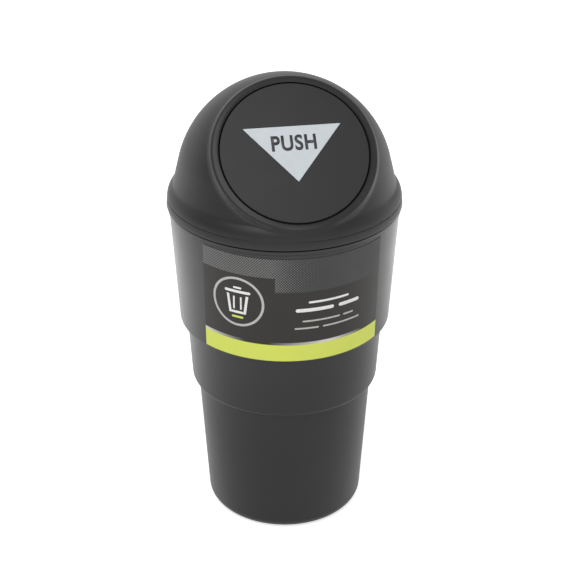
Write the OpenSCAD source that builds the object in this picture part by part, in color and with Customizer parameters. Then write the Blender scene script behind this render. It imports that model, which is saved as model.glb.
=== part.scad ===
// Car trash bin: a stepped tapered cup that stands in a cup holder, closed by a domed lid
// whose sloping front carries a round push flap on a sprung hinge.
// Millimetres, +Z up, origin at the centre of the base, flap facing -Y.

/* [Bin body] */
// Radius of the base, where the lowest wall would meet the floor
base_r = 27.95; // [22:0.05:34]
// Draft of every side wall, in degrees
draft = 3.5; // [1:0.1:5]
// Height of the lower ledge
step_low_z = 51; // [40:0.5:60]
// How far the lower ledge stands out
step_low = 2.05; // [1:0.05:4]
// Height of the upper ledge
step_high_z = 75.2; // [68:0.2:90]
// How far the upper ledge stands out
step_high = 2.35; // [1:0.05:4]
// Height of the shoulder that the lid's rim comes down to
shoulder_z = 118; // [105:0.5:135]
// Wall thickness of the bin
wall = 1.6; // [1:0.1:2.2]
// Thickness of the bin's floor
floor_t = 1.8; // [1:0.1:3]
// Rounding round the foot
foot_fillet = 4.1; // [1:0.1:5]
// Rounding on the edge of the lower ledge
ledge_fillet_low = 1.6; // [0.4:0.1:1.9]
// Rounding on the edge of the upper ledge
ledge_fillet_high = 0.9; // [0.4:0.1:2]
// Depth of the hollow under the base
foot_recess = 0.8; // [0.3:0.1:1.5]
// Width of the ring that the bin stands on
foot_ring_w = 3.5; // [2:0.1:6]
// Height of the band under the shoulder
collar_h = 1.4; // [0.8:0.1:3]
// How far that band stands out
collar_t = 0.35; // [0.1:0.05:0.8]
// Height of the lip inside the lid's rim
lip_h = 2.6; // [1.5:0.1:5]
// How far the lip is set in from the wall
lip_in = 0.55; // [0.2:0.05:0.8]

/* [Wrap label] */
// Thickness of the printed film
label_t = 0.3; // [0.1:0.05:0.4]
// Thickness of the glue under it
label_glue = 0.05; // [0.02:0.01:0.1]
// Angle that the film covers
label_span = 102; // [40:1:180]
// Angle of its middle from the front, to the right
label_turn = -4.5; // [-60:0.5:60]
// Height of the film's lower edge over the rounding of the ledge
label_up = 0.05; // [0.05:0.05:4]
// Gap between the film and the band under the shoulder
label_down = 1.4; // [0.2:0.1:6]

/* [Lid] */
// How far the lid's rim stands out past the shoulder
rim_out = 0.75; // [0.6:0.05:3]
// How far the foot of the dome is set in from the rim
dome_in = 2.6; // [2:0.1:5]
// How much smaller the ball of the dome is than its foot
dome_lean = 0.8; // [0.3:0.1:2]
// Height of the dome's centre over the shoulder
dome_rise = 7.45; // [5:0.05:12]
// Angle up the ball at which the cone of its foot begins
foot_angle = 15.7; // [8:0.1:25]
// Wall thickness of the dome
dome_wall = 1.6; // [1:0.1:2.2]
// Height of the upright band of the rim
rim_band_h = 2.4; // [1.5:0.1:4]
// Gap between the rim and the shoulder
rim_gap = 0.3; // [0.1:0.05:1]
// Height and depth of the fine groove over the band
rim_groove = 0.4; // [0.2:0.05:0.8]
// Height of the rounded part of the rim over the groove
rim_round_h = 5.4; // [3:0.1:7]
// Depth of the skirt that plugs into the bin
skirt_h = 6.5; // [3:0.1:12]
// Wall of the skirt
skirt_t = 1.2; // [0.8:0.1:2]
// Clearance of the lid round the bin's lip, and of the skirt inside it
lid_gap = 0.3; // [0.15:0.05:0.6]

/* [Opening] */
// Tilt of the opening's face up from upright
face_tilt = 44.6; // [30:0.2:60]
// How far the face stands proud of the ball where the opening's wall leaves it
face_proud = 2.35; // [1.5:0.05:4]
// How far the opening sits below the dome's centre line, along the face
face_drop = 0.8; // [0:0.1:3]
// Radius of the opening
hole_r = 24.9; // [20:0.1:26]
// Wall round the opening
collar_wall = 2.5; // [1.5:0.1:3.5]
// Depth of that wall behind the face
collar_depth = 4.5; // [3:0.1:7]
// Rounding of its outer edge
collar_fillet = 1.1; // [0.3:0.1:1.5]

/* [Flap] */
// Running gap round the flap
flap_gap = 0.45; // [0.3:0.05:0.8]
// Thickness of the flap
flap_t = 1.6; // [1.2:0.1:2.4]
// Distance of the hinge from the flap's top edge
hinge_in = 6.45; // [5.5:0.05:9]
// Depth of the hinge behind the face
hinge_depth = 4.4; // [4:0.1:6]
// Radius of the hinge pin
pin_r = 0.9; // [0.6:0.05:1.2]
// Running clearance of the flap's ears on the pin
pin_gap = 0.05; // [0.02:0.01:0.1]
// Radius of the ears and lugs round the pin
lug_r = 2.4; // [1.8:0.1:2.5]
// Distance of the lid's lugs back from the edge of the opening
lug_back = 0.2; // [0.1:0.05:0.5]
// Thickness of each lug of the lid
lug_w = 2.2; // [1.5:0.1:3]
// Distance of the flap's ears from the middle
ear_x = 8; // [7:0.1:12]
// Thickness of each ear
ear_w = 2.4; // [1.5:0.1:4]
// Thickness of the stiffening ring behind the flap
rib_w = 1.2; // [0.8:0.1:2]
// Distance of that ring from the flap's edge
rib_in = 3.05; // [2.9:0.05:8]
// Height of that ring
rib_h = 1; // [0.5:0.1:1.2]
// Reach of the two stops past the edge of the opening
stop_out = 0.9; // [0.4:0.1:1.2]
// Thickness of the stops
stop_t = 1.4; // [0.8:0.1:2]
// Width of each stop
stop_w = 5; // [3:0.1:8]
// Angle of the stops from the lowest point
stop_angle = 35; // [20:1:50]
// Play between the stops and the lid when shut
stop_gap = 0.3; // [0.1:0.05:0.6]

/* [Return spring] */
// Radius of the spring wire
wire_r = 0.35; // [0.2:0.05:0.45]
// Radius to the middle of the coil's wire
coil_r = 1.75; // [1.6:0.05:2.2]
// Number of turns
coil_turns = 8; // [4:1:10]
// Distance between turns
coil_pitch = 0.85; // [0.75:0.05:1]
// Length of the leg on the flap
flap_leg = 11; // [6:0.5:14]
// How far the other leg reaches past the edge of the wall it presses on
lid_bearing = 0.8; // [0.4:0.1:1]
// Gap between each leg and what it presses on
leg_gap = 0.1; // [0.05:0.05:0.2]

/* [Push sticker] */
// Thickness of the sticker
sticker_t = 0.15; // [0.1:0.05:0.4]
// Half width of its top edge
sticker_half = 16.1; // [10:0.1:18]
// Height of the top edge over the flap's middle
sticker_top = 9; // [5:0.1:12]
// Depth of its lowest corner under the flap's middle
sticker_low = 10.3; // [5:0.1:14]

/* [Hidden] */

plastic = "#3e3e40";
steel = "#b9bcc0";
film = "#45433f";
silver = "#cbd1d6";

$fn = 96;
arc_steps = 8;
slope = tan(draft);
// A wall measured level instead of square to its face
wall_level = wall / cos(draft);
// Reach of a cut past the outside of what it cuts
cut_clear = 20;
// Sink of one form into its neighbour in the same piece
sink = 1;

// Outside radius of each of the three stretches of wall at height z
function low_r(z) = base_r + slope * z;
function mid_r(z) = low_r(z) + step_low;
function top_r(z) = mid_r(z) + step_high;

lip_z = shoulder_z + lip_h;
lip_r = top_r(shoulder_z) - lip_in;
mouth_r = top_r(shoulder_z) - wall_level;

rim_r = top_r(shoulder_z) + rim_out;
rim_z = shoulder_z + rim_gap;
band_top = rim_z + rim_band_h;
groove_top = band_top + rim_groove;
rim_top = groove_top + rim_round_h;
rim_in_r = lip_r + lid_gap;
skirt_r = mouth_r - lid_gap;
skirt_in_r = skirt_r - skirt_t;
// Step between the band and the groove over it
groove_in = rim_groove + 0.1;

dome_z = shoulder_z + dome_rise;
dome_foot_r = rim_r - dome_in;
dome_r = dome_foot_r - dome_lean;
cone_top_z = dome_z + dome_r * sin(foot_angle);
cone_top_r = dome_r * cos(foot_angle);

collar_r = hole_r + collar_wall;
// Distance of the face from the dome's centre
face_d = sqrt(dome_r * dome_r - collar_r * collar_r) + face_proud;
flap_r = hole_r - flap_gap;
rib_r = flap_r - rib_in;
hinge_up = flap_r - hinge_in;
lug_x = sqrt(hole_r * hole_r - hinge_up * hinge_up) + lug_back;
lug_end = lug_x + lug_w;
pin_end_gap = 0.3;
coil_len = coil_turns * coil_pitch;
// From the hinge to the edge of the opening that the spring's other leg passes under
lid_edge = sqrt(hole_r * hole_r - coil_len * coil_len / 4) - hinge_up;
coil_wire_steps = 18;
wire_sides = 8;

// Points on an arc round [x, z], from one angle to another
function arc(x, z, r, from, to) =
    [for (i = [0:arc_steps]) let (a = from + (to - from) * i / arc_steps) [x + r * cos(a), z + r * sin(a)]];

// Rounded lower corner of a drafted wall that has radius r at height z, on a floor at height z
function lower_corner(r, z, f) = arc(r + f * slope - f / cos(draft), z + f, f, -90, -draft);

module bin_section() {
    recess_r = base_r - foot_fillet - foot_ring_w;
    inner_fillet = max(foot_fillet - wall, 0.8);
    inner_low = low_r(floor_t + foot_recess) - wall_level;
    inner_step_low = step_low_z + wall;
    inner_step_high = step_high_z + wall;
    outside = concat(
        [[0, foot_recess], [recess_r, foot_recess], [recess_r + foot_recess, 0]],
        lower_corner(base_r, 0, foot_fillet),
        [[low_r(step_low_z), step_low_z]],
        lower_corner(mid_r(step_low_z), step_low_z, ledge_fillet_low),
        [[mid_r(step_high_z), step_high_z]],
        lower_corner(top_r(step_high_z), step_high_z, ledge_fillet_high),
        [[top_r(shoulder_z - collar_h - collar_t), shoulder_z - collar_h - collar_t],
         [top_r(shoulder_z - collar_h) + collar_t, shoulder_z - collar_h],
         [top_r(shoulder_z) + collar_t, shoulder_z],
         [lip_r, shoulder_z],
         [lip_r, lip_z]]);
    inside = concat(
        [[mouth_r, lip_z],
         [mouth_r, shoulder_z],
         [top_r(inner_step_high) - wall_level, inner_step_high],
         [mid_r(inner_step_high) - wall_level, inner_step_high],
         [mid_r(inner_step_low) - wall_level, inner_step_low],
         [low_r(inner_step_low) - wall_level, inner_step_low]],
        [for (p = [arc_steps:-1:0]) lower_corner(inner_low, floor_t + foot_recess, inner_fillet)[p]],
        [[0, floor_t + foot_recess]]);
    polygon(concat(outside, inside));
}

module bin_body() {
    color(plastic) rotate_extrude($fn = 128) bin_section();
}

module wrap_label() {
    low = step_high_z + ledge_fillet_high + label_up;
    high = shoulder_z - collar_h - collar_t - label_down;
    outside = [[top_r(low) + label_t, low], [top_r(high) + label_t, high]];
    color(film)
    rotate_extrude(angle = label_span, start = 270 + label_turn - label_span / 2, $fn = 128)
    translate([label_glue, 0])
    polygon(concat([[top_r(low), low]], outside, [[top_r(high), high]]));
}

// Places things on the opening's face: x to the right, y up the slope, z out of the face
module on_face() {
    translate([0, 0, dome_z])
    rotate([90 - face_tilt, 0, 0])
    translate([0, -face_drop, face_d])
    children();
}

// A bar along the hinge's axis, from x0 to x1
module hinge_bar(x0, x1, r) {
    translate([x0, hinge_up, -hinge_depth]) rotate([0, 90, 0]) cylinder(r = r, h = x1 - x0);
}

// The dome's ball and the short cone at its foot, cut level at height low and set in by inset
module dome_form(inset, low) {
    foot_spread = (dome_foot_r - cone_top_r) * (rim_top - low) / (cone_top_z - rim_top);
    low_end = dome_foot_r + foot_spread - inset;
    intersection() {
        translate([0, 0, dome_z]) sphere(dome_r - inset, $fn = 128);
        translate([0, 0, low]) cylinder(r = 2 * dome_r, h = 2 * dome_r);
    }
    translate([0, 0, low])
    cylinder(r1 = low_end, r2 = cone_top_r - inset, h = cone_top_z - low, $fn = 128);
}

function curve(a, b, c, t) = (1 - t) * (1 - t) * a + 2 * t * (1 - t) * b + t * t * c;

// Skirt, seat on the bin's lip, upright band, groove and rounded shoulder up to the dome
module rim_section() {
    band_fillet = 0.3;
    skirt_lead = 1.2;
    in_r = dome_foot_r - dome_wall;
    round_in = 0.1;
    round_lean = 0.35;
    round_r = rim_r - round_in;
    round_start = [round_r, groove_top];
    round_pull = [round_r - round_lean, groove_top + rim_round_h / 2];
    round_end = [dome_foot_r - round_in, rim_top];
    polygon(concat(
        [[skirt_in_r, lip_z - skirt_h],
         [skirt_r - skirt_t / 2, lip_z - skirt_h],
         [skirt_r, lip_z - skirt_h + skirt_lead],
         [skirt_r, lip_z],
         [rim_in_r, lip_z],
         [rim_in_r, rim_z]],
        arc(rim_r - band_fillet, rim_z + band_fillet, band_fillet, -90, 0),
        arc(rim_r - band_fillet, band_top - band_fillet, band_fillet, 0, 90),
        [[rim_r - groove_in, band_top],
         [rim_r - groove_in, groove_top]],
        [for (i = [0:arc_steps]) curve(round_start, round_pull, round_end, i / arc_steps)],
        [[in_r, rim_top - sink / 2],
         [in_r, lip_z + dome_wall],
         [skirt_in_r, lip_z]]));
}

// Wall round the opening, with a softened outer edge, from the face inwards
module opening_collar() {
    rotate_extrude($fn = 128)
    polygon(concat(
        [[hole_r - sink, -collar_depth], [collar_r, -collar_depth]],
        arc(collar_r - collar_fillet, -collar_fillet, collar_fillet, 0, 90),
        [[hole_r - sink, 0]]));
}

module lid() {
    cut_depth = collar_depth + hinge_depth;
    color(plastic)
    difference() {
        union() {
            difference() {
                dome_form(0, rim_top - sink);
                dome_form(dome_wall, rim_top - 2 * sink);
            }
            rotate_extrude($fn = 128) rim_section();
            on_face() opening_collar();
            on_face() hinge_bar(-lug_end, -lug_x, lug_r);
            on_face() hinge_bar(lug_x, lug_end, lug_r);
        }
        on_face() translate([0, 0, -cut_depth]) cylinder(r = hole_r, h = cut_depth + cut_clear, $fn = 128);
        on_face() hinge_bar(-lug_end - pin_end_gap, lug_end + pin_end_gap, pin_r);
    }
}

// One hooked stop, at the lowest point of the flap
module stop_hook() {
    post_t = 2.2;
    edge_in = 0.3;
    hook_z = -collar_depth - stop_gap - stop_t;
    post = [stop_w, post_t, -flap_t / 2 - hook_z];
    toe = [stop_w, stop_out + post_t, stop_t];
    translate([-stop_w / 2, -flap_r + edge_in, hook_z]) cube(post);
    translate([-stop_w / 2, -hole_r - stop_out, hook_z]) cube(toe);
}

module flap() {
    edge_fillet = 0.35;
    ear_top = hinge_depth - flap_t / 2;
    color(plastic)
    on_face()
    difference() {
        union() {
            rotate_extrude($fn = 128)
            polygon(concat(
                [[0, -flap_t], [flap_r, -flap_t]],
                arc(flap_r - edge_fillet, -edge_fillet, edge_fillet, 0, 90),
                [[0, 0]]));
            rotate_extrude($fn = 96)
            translate([rib_r - rib_w, -flap_t - rib_h]) square([rib_w, rib_h + flap_t / 2]);
            for (side = [-1, 1]) {
                x0 = side * (ear_x + ear_w / 2) - ear_w / 2;
                hinge_bar(x0, x0 + ear_w, lug_r);
                translate([x0, hinge_up - lug_r, -hinge_depth]) cube([ear_w, 2 * lug_r, ear_top]);
                rotate([0, 0, side * stop_angle]) stop_hook();
            }
        }
        hinge_bar(-ear_x - 2 * ear_w, ear_x + 2 * ear_w, pin_r + pin_gap);
    }
}

module hinge_pin() {
    chamfer = 0.25;
    color(steel)
    on_face()
    translate([-lug_end, hinge_up, -hinge_depth]) rotate([0, 90, 0])
    rotate_extrude($fn = 48)
    polygon(concat(
        [[0, 0], [pin_r - chamfer, 0], [pin_r, chamfer]],
        [[pin_r, 2 * lug_end - chamfer], [pin_r - chamfer, 2 * lug_end], [0, 2 * lug_end]]));
}

// Angle at which a straight leg leaves the coil to end at distance reach, at height rise over the hinge
function leave_angle(reach, rise, side) =
    90 + side * (asin(coil_r / norm([reach, rise])) - atan2(rise, reach));
function leg_length(reach, rise) = sqrt(reach * reach + rise * rise - coil_r * coil_r);

// Each stop on the wire's way is [along the hinge, angle round the coil, distance gone out along a leg]
function wire_way() =
    let (flap_rise = hinge_depth - flap_t - wire_r - leg_gap,
        lid_rise = hinge_depth - collar_depth - wire_r - leg_gap,
        start = 180 - leave_angle(flap_leg, flap_rise, 1),
        finish = leave_angle(lid_edge, lid_rise, -1),
        sweep = coil_turns * 360 + start - finish,
        steps = round(coil_turns * coil_wire_steps))
    concat(
        [[-coil_len / 2, start, -leg_length(flap_leg, flap_rise)]],
        [for (i = [0:steps]) [-coil_len / 2 + coil_len * i / steps, start - sweep * i / steps, 0]],
        [[coil_len / 2, start - sweep, leg_length(lid_edge, lid_rise) + lid_bearing]]);

// Centre of the wire at a stop, in the frame of the opening's face
function wire_point(s) = [
    s[0],
    hinge_up + coil_r * cos(s[1]) + s[2] * sin(s[1]),
    -hinge_depth + coil_r * sin(s[1]) - s[2] * cos(s[1])];

module return_spring() {
    way = wire_way();
    last = len(way) - 1;
    points = [for (s = way) for (k = [0:wire_sides - 1])
        let (turn = 360 * k / wire_sides, out = [0, cos(s[1]), sin(s[1])])
        wire_point(s) + wire_r * (cos(turn) * out + sin(turn) * [1, 0, 0])];
    sides = [for (i = [0:last - 1]) for (k = [0:wire_sides - 1])
        let (n = (k + 1) % wire_sides)
        [i * wire_sides + k, i * wire_sides + n, (i + 1) * wire_sides + n, (i + 1) * wire_sides + k]];
    ends = [[for (k = [wire_sides - 1:-1:0]) k], [for (k = [0:wire_sides - 1]) last * wire_sides + k]];
    color(steel) on_face() polyhedron(points, concat(sides, ends));
}

module push_sticker() {
    color(silver)
    on_face()
    linear_extrude(sticker_t)
    polygon([[-sticker_half, sticker_top], [0, -sticker_low], [sticker_half, sticker_top]]);
}

bin_body();
wrap_label();
lid();
flap();
hinge_pin();
return_spring();
push_sticker();
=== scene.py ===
# %% [markdown]
# # A car trash bin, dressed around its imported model
#
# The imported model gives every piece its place: a stepped cup, a domed lid with a round sprung flap,
# a hinge pin, a return spring, a printed film and a sticker. This script gives each piece the surface
# that the real one has. All lengths are real sizes, so the sizes below are written in millimetres
# and turned into metres where they are used. Only the floor and the lamps are measured in metres.

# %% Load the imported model
import math

import bmesh
import bpy
import numpy as np
from mathutils import Euler, Matrix, Vector


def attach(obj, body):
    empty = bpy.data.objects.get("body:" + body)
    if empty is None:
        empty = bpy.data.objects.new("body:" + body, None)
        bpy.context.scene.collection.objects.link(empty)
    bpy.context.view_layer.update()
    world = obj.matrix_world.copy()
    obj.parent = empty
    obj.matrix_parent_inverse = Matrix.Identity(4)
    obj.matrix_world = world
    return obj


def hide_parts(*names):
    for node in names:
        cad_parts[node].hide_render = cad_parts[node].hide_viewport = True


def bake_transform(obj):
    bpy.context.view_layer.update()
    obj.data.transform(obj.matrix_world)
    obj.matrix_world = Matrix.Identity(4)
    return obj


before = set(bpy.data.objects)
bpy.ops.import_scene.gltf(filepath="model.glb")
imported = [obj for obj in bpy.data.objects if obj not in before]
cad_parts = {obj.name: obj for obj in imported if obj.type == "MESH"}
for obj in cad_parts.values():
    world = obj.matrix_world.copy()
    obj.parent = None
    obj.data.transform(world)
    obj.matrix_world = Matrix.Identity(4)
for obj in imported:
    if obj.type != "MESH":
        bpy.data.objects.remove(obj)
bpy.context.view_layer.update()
MM = 0.001
print("pieces in the frame:", sorted(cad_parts))


# %% Objects and their meshes
def add_object(name, data):
    """A new object in the scene."""
    added = bpy.data.objects.new(name, data)
    bpy.context.scene.collection.objects.link(added)
    return added


def as_mesh(thing):
    """A plain mesh of an object as its modifiers leave it."""
    bpy.context.view_layer.update()
    return bpy.data.meshes.new_from_object(thing.evaluated_get(bpy.context.evaluated_depsgraph_get()))


# %% [markdown]
# ## The camera
#
# The photograph looks down on the bin from about 29 degrees above level, from half a metre away, and
# the flap faces a little to the right of the lens. The eye is placed on a circle round the bin's axis,
# so one angle turns it without changing how large the bin looks. The bin stands a touch left of the
# middle of the picture, and a small lens shift does that without turning the camera.

# %% Camera
EYE_DISTANCE = 520.0
AIM_HEIGHT = 70.0
# Angles in degrees
EYE_ELEVATION = 29.0
EYE_TURN = -9.85
TILT_DOWN = 27.56
LENS = 91.2
SENSOR = 36.0
# Width of the photograph, and where the bin's axis stands in it, in pixels
PICTURE = 573.0
AXIS_PIXEL = 284.5
CLIP_START = 10.0


def add_camera():
    elevation, turn = math.radians(EYE_ELEVATION), math.radians(EYE_TURN)
    out = EYE_DISTANCE * math.cos(elevation)
    up = AIM_HEIGHT + EYE_DISTANCE * math.sin(elevation)
    data = bpy.data.cameras.new("photo_camera")
    data.sensor_width = SENSOR
    data.lens = LENS
    data.shift_x = (PICTURE / 2 - AXIS_PIXEL) / PICTURE
    data.clip_start = CLIP_START * MM
    camera = add_object("photo_camera", data)
    camera.location = Vector((math.sin(turn) * out, -math.cos(turn) * out, up)) * MM
    camera.rotation_euler = Euler((math.radians(90 - TILT_DOWN), 0, turn))
    bpy.context.scene.camera = camera
    return camera


camera = add_camera()
print("camera stands at", [round(v, 3) for v in camera.location])

# %% [markdown]
# ## The turned cup
#
# The cup is a body of revolution. A Geometry Nodes tree turns any profile into a solid: the profile is
# drawn as a loop of edges with its radius along X and its height along Y, a circle carries it round the
# axis, and doubles are merged where the profile touches the axis. The tree ends in Realize Instances
# and Set Material, and its result is kept as a plain mesh.

# %% Helpers for node trees
SEGMENTS = 256
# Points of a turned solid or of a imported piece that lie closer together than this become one
MERGE = 0.002


def new_tree(name, inputs):
    """An empty geometry tree with a mesh output and the named inputs, each given as (kind, value)."""
    tree = bpy.data.node_groups.new(name, "GeometryNodeTree")
    tree.interface.new_socket("Geometry", in_out="INPUT", socket_type="NodeSocketGeometry")
    for label, (kind, value) in inputs.items():
        socket = tree.interface.new_socket(label, in_out="INPUT", socket_type="NodeSocket" + kind)
        socket.default_value = value
    tree.interface.new_socket("Geometry", in_out="OUTPUT", socket_type="NodeSocketGeometry")
    start = tree.nodes.new("NodeGroupInput")
    end = tree.nodes.new("NodeGroupOutput")
    return tree, start, end


def add_node(nodes_of, kind, links=None, **settings):
    """A node of that kind. links maps an input's name or number to a socket or to a plain value."""
    node = nodes_of.nodes.new(kind)
    for key, value in settings.items():
        setattr(node, key, value)
    for key, value in (links or {}).items():
        if isinstance(value, bpy.types.NodeSocket):
            nodes_of.links.new(value, node.inputs[key])
        else:
            node.inputs[key].default_value = value
    return node


def finish_tree(tree, end, geometry, material):
    """Ends a tree in Realize Instances and Set Material."""
    real = add_node(tree, "GeometryNodeRealizeInstances", {"Geometry": geometry})
    painted = add_node(tree, "GeometryNodeSetMaterial", {"Geometry": real.outputs[0], "Material": material})
    tree.links.new(painted.outputs[0], end.inputs[0])


def grown(name, mesh, tree, **inputs):
    """Runs a tree on a mesh and keeps the result as a plain mesh object."""
    seed = add_object(name + "_seed", mesh)
    modifier = seed.modifiers.new("grow", "NODES")
    modifier.node_group = tree
    names = {s.name: s.identifier for s in tree.interface.items_tree if s.in_out == "INPUT"}
    for key, value in inputs.items():
        modifier[names[key.replace("_", " ")]] = value
    result = as_mesh(seed)
    result.name = name
    bpy.data.objects.remove(seed)
    return add_object(name, result)


# %% A tree that turns a profile round the axis
# Radius of the circle that carries the profile, in metres; each profile is drawn that far in
CARRIER_R = 1.0


def lathe_tree(material):
    inputs = {"Segments": ("Int", SEGMENTS), "Merge Distance": ("Float", MERGE * MM)}
    tree, start, end = new_tree("turned", inputs)
    given = start.outputs
    circle = {"Resolution": given["Segments"], "Radius": CARRIER_R}
    path = add_node(tree, "GeometryNodeCurvePrimitiveCircle", circle)
    profile = add_node(tree, "GeometryNodeMeshToCurve", {"Mesh": given["Geometry"]})
    curves = {"Curve": path.outputs[0], "Profile Curve": profile.outputs[0]}
    body = add_node(tree, "GeometryNodeCurveToMesh", curves)
    doubles = {"Geometry": body.outputs[0], "Distance": given["Merge Distance"]}
    merged = add_node(tree, "GeometryNodeMergeByDistance", doubles)
    finish_tree(tree, end, merged.outputs[0], material)
    return tree


# %% Smooth solids
# Points that lie closer together than this are the same point of a closed skin
SAME_POINT = 0.001


def shaded(piece, sharp_degrees):
    """Shades a piece smooth, apart from its real edges."""
    piece.data.shade_smooth()
    piece.data.set_sharp_from_angle(angle=math.radians(sharp_degrees))
    return piece


def close_and_smooth(piece, sharp_degrees=32.0):
    """Merges doubles, points all faces outwards and shades the piece."""
    work = bmesh.new()
    work.from_mesh(piece.data)
    bmesh.ops.remove_doubles(work, verts=work.verts, dist=SAME_POINT * MM)
    bmesh.ops.recalc_face_normals(work, faces=work.faces)
    work.to_mesh(piece.data)
    work.free()
    return shaded(piece, sharp_degrees)


def turned(name, profile, material):
    """A solid turned from a closed profile of (radius, height) points in millimetres."""
    mesh = bpy.data.meshes.new(name + "_profile")
    # The circle carries the profile upside down, so heights are drawn downwards
    points = [(r * MM - CARRIER_R, -z * MM, 0.0) for r, z in profile]
    mesh.from_pydata(points, [(i, (i + 1) % len(points)) for i in range(len(points))], [])
    return close_and_smooth(grown(name, mesh, lathe_tree(material)))


# %% [markdown]
# ## Moulded plastic
#
# The cup, lid and flap are one charcoal plastic with a fine satin grain from the mould. A flat colour
# would look like a drawing, so the colour drifts a little over a few centimetres, and a fine bump and a
# change of roughness break up the highlights. The patterns read Object coordinates, which are real
# metres here, so the grain has its real size on every piece. The lid and the flap are a little duller
# than the cup.

# %% Helpers for materials
WHITE = (1.0, 1.0, 1.0, 1.0)


def colour(hex_code):
    """A colour written as on a swatch card, turned into the linear values that the shader works with."""
    parts = [int(hex_code[i : i + 2], 16) / 255 for i in (1, 3, 5)]
    linear = [p / 12.92 if p <= 0.04045 else ((p + 0.055) / 1.055) ** 2.4 for p in parts]
    return (*linear, 1.0)


def new_material(name):
    material = bpy.data.materials.new(name)
    material.use_nodes = True
    tree = material.node_tree
    return material, tree, tree.nodes["Principled BSDF"]


def math_node(tree, operation, a, b=0.0, c=0.0):
    return add_node(tree, "ShaderNodeMath", {0: a, 1: b, 2: c}, operation=operation).outputs[0]


def mix_colour(tree, factor, a, b):
    return add_node(tree, "ShaderNodeMix", {"Factor": factor, 6: a, 7: b}, data_type="RGBA").outputs[2]


def noise_at(tree, size_mm, detail=3.0):
    """Noise whose lumps are about size_mm across."""
    place = add_node(tree, "ShaderNodeTexCoord").outputs["Object"]
    lumps = {"Vector": place, "Scale": 1.0 / (size_mm * MM), "Detail": detail, "Roughness": 0.55}
    return add_node(tree, "ShaderNodeTexNoise", lumps).outputs["Fac"]


def between(tree, value, low, high, span=(0.0, 1.0)):
    """Goes from low to high while the value passes through the span, and stays level outside it."""
    ranges = {"From Min": span[0], "From Max": span[1], "To Min": low, "To Max": high}
    return add_node(tree, "ShaderNodeMapRange", {"Value": value, **ranges}, clamp=True).outputs[0]


# %% Colour, roughness and bump
def tone(tree, dark, light, patch_mm, detail=3.0):
    """A colour that drifts between two others in patches of about patch_mm."""
    return mix_colour(tree, noise_at(tree, patch_mm, detail), colour(dark), colour(light))


def paint(tree, shader, shade, patch_mm, low, high):
    """Gives the shader its colour, and a roughness from low to high in patches of about patch_mm."""
    tree.links.new(shade, shader.inputs["Base Color"])
    rough = between(tree, noise_at(tree, patch_mm), low, high)
    tree.links.new(rough, shader.inputs["Roughness"])


def add_bump(tree, shader, size_mm, depth_mm, detail, strength=1.0):
    """Lumps of about size_mm that only the shading shows."""
    height = noise_at(tree, size_mm, detail)
    relief = {"Height": height, "Distance": depth_mm * MM, "Strength": strength}
    tree.links.new(add_node(tree, "ShaderNodeBump", relief).outputs[0], shader.inputs["Normal"])


# %% The plastic
TONE_PATCH = 26.0
SHEEN_PATCH = 9.0
GRAIN_SIZE = 0.35
GRAIN_DEPTH = 0.014
PLASTIC_SPECULAR = 0.33


def moulded_plastic(name, dark, light, rough_low, rough_high):
    """The satin plastic; its colour drifts between two tones and its grain is a fine bump."""
    material, tree, shader = new_material(name)
    shade = tone(tree, dark, light, TONE_PATCH, detail=2.0)
    paint(tree, shader, shade, SHEEN_PATCH, rough_low, rough_high)
    add_bump(tree, shader, GRAIN_SIZE, GRAIN_DEPTH, detail=4.0)
    shader.inputs["IOR"].default_value = 1.5
    shader.inputs["Specular IOR Level"].default_value = PLASTIC_SPECULAR
    return material


body_plastic = moulded_plastic("bin_plastic", "#1a1a1c", "#1f1f21", 0.32, 0.38)
lid_plastic = moulded_plastic("lid_plastic", "#1a1a1c", "#1f1f21", 0.42, 0.48)
flap_plastic = moulded_plastic("flap_plastic", "#171719", "#1b1b1d", 0.5, 0.56)
print("plastics:", [plastic.name for plastic in (body_plastic, lid_plastic, flap_plastic)])

# %% [markdown]
# ## The cup's profile
#
# The wall leans out by three and a half degrees so that it leaves its mould, and steps out twice on the
# way up. The lower step is the ledge that stops the bin in a cup holder. Each step is flat underneath
# with a rounded lower edge, and the rounding is an arc in the profile, so the turned solid has it too.
# Under the lid a thin bead runs round the wall, and inside it a lip stands up for the lid to sit on.

# %% Sizes of the cup
DRAFT_DEGREES = 3.5
CONE = math.radians(DRAFT_DEGREES)
DRAFT = math.tan(CONE)
BASE_R = 27.95
# Height of each ledge, how far it steps out, and its rounding
LOW_Z, LOW_STEP, LOW_ROUND = 51.0, 2.05, 1.95
HIGH_Z, HIGH_STEP, HIGH_ROUND = 75.2, 2.35, 0.9
SHOULDER_Z = 118.0
BEAD_H = 1.4
BEAD_OUT = 0.35
# The bead's top lies this much lower than in the solids, so the dark line under the lid shows
LID_GAP = 0.25
LIP_IN = 0.55
LIP_TOP = SHOULDER_Z + 2.6
WALL = 1.6
FLOOR_T = 1.8
FOOT_ROUND = 4.1
FOOT_RING = 3.5
# How high the underside stands inside the foot ring
FOOT_RISE = 0.8


def low_r(z):
    return BASE_R + DRAFT * z


def mid_r(z):
    return low_r(z) + LOW_STEP


def top_r(z):
    return mid_r(z) + HIGH_STEP


def arc(r, z, radius, start, stop, steps=8):
    """Points on an arc round (r, z), from one angle to another in degrees."""
    turns = [math.radians(start + (stop - start) * i / steps) for i in range(steps + 1)]
    return [(r + radius * math.cos(t), z + radius * math.sin(t)) for t in turns]


def lower_corner(r, z, radius):
    """The rounded lower corner of a drafted wall that has radius r at height z."""
    centre = r + radius * DRAFT - radius / math.cos(CONE)
    return arc(centre, z + radius, radius, -90, -DRAFT_DEGREES)


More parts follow.
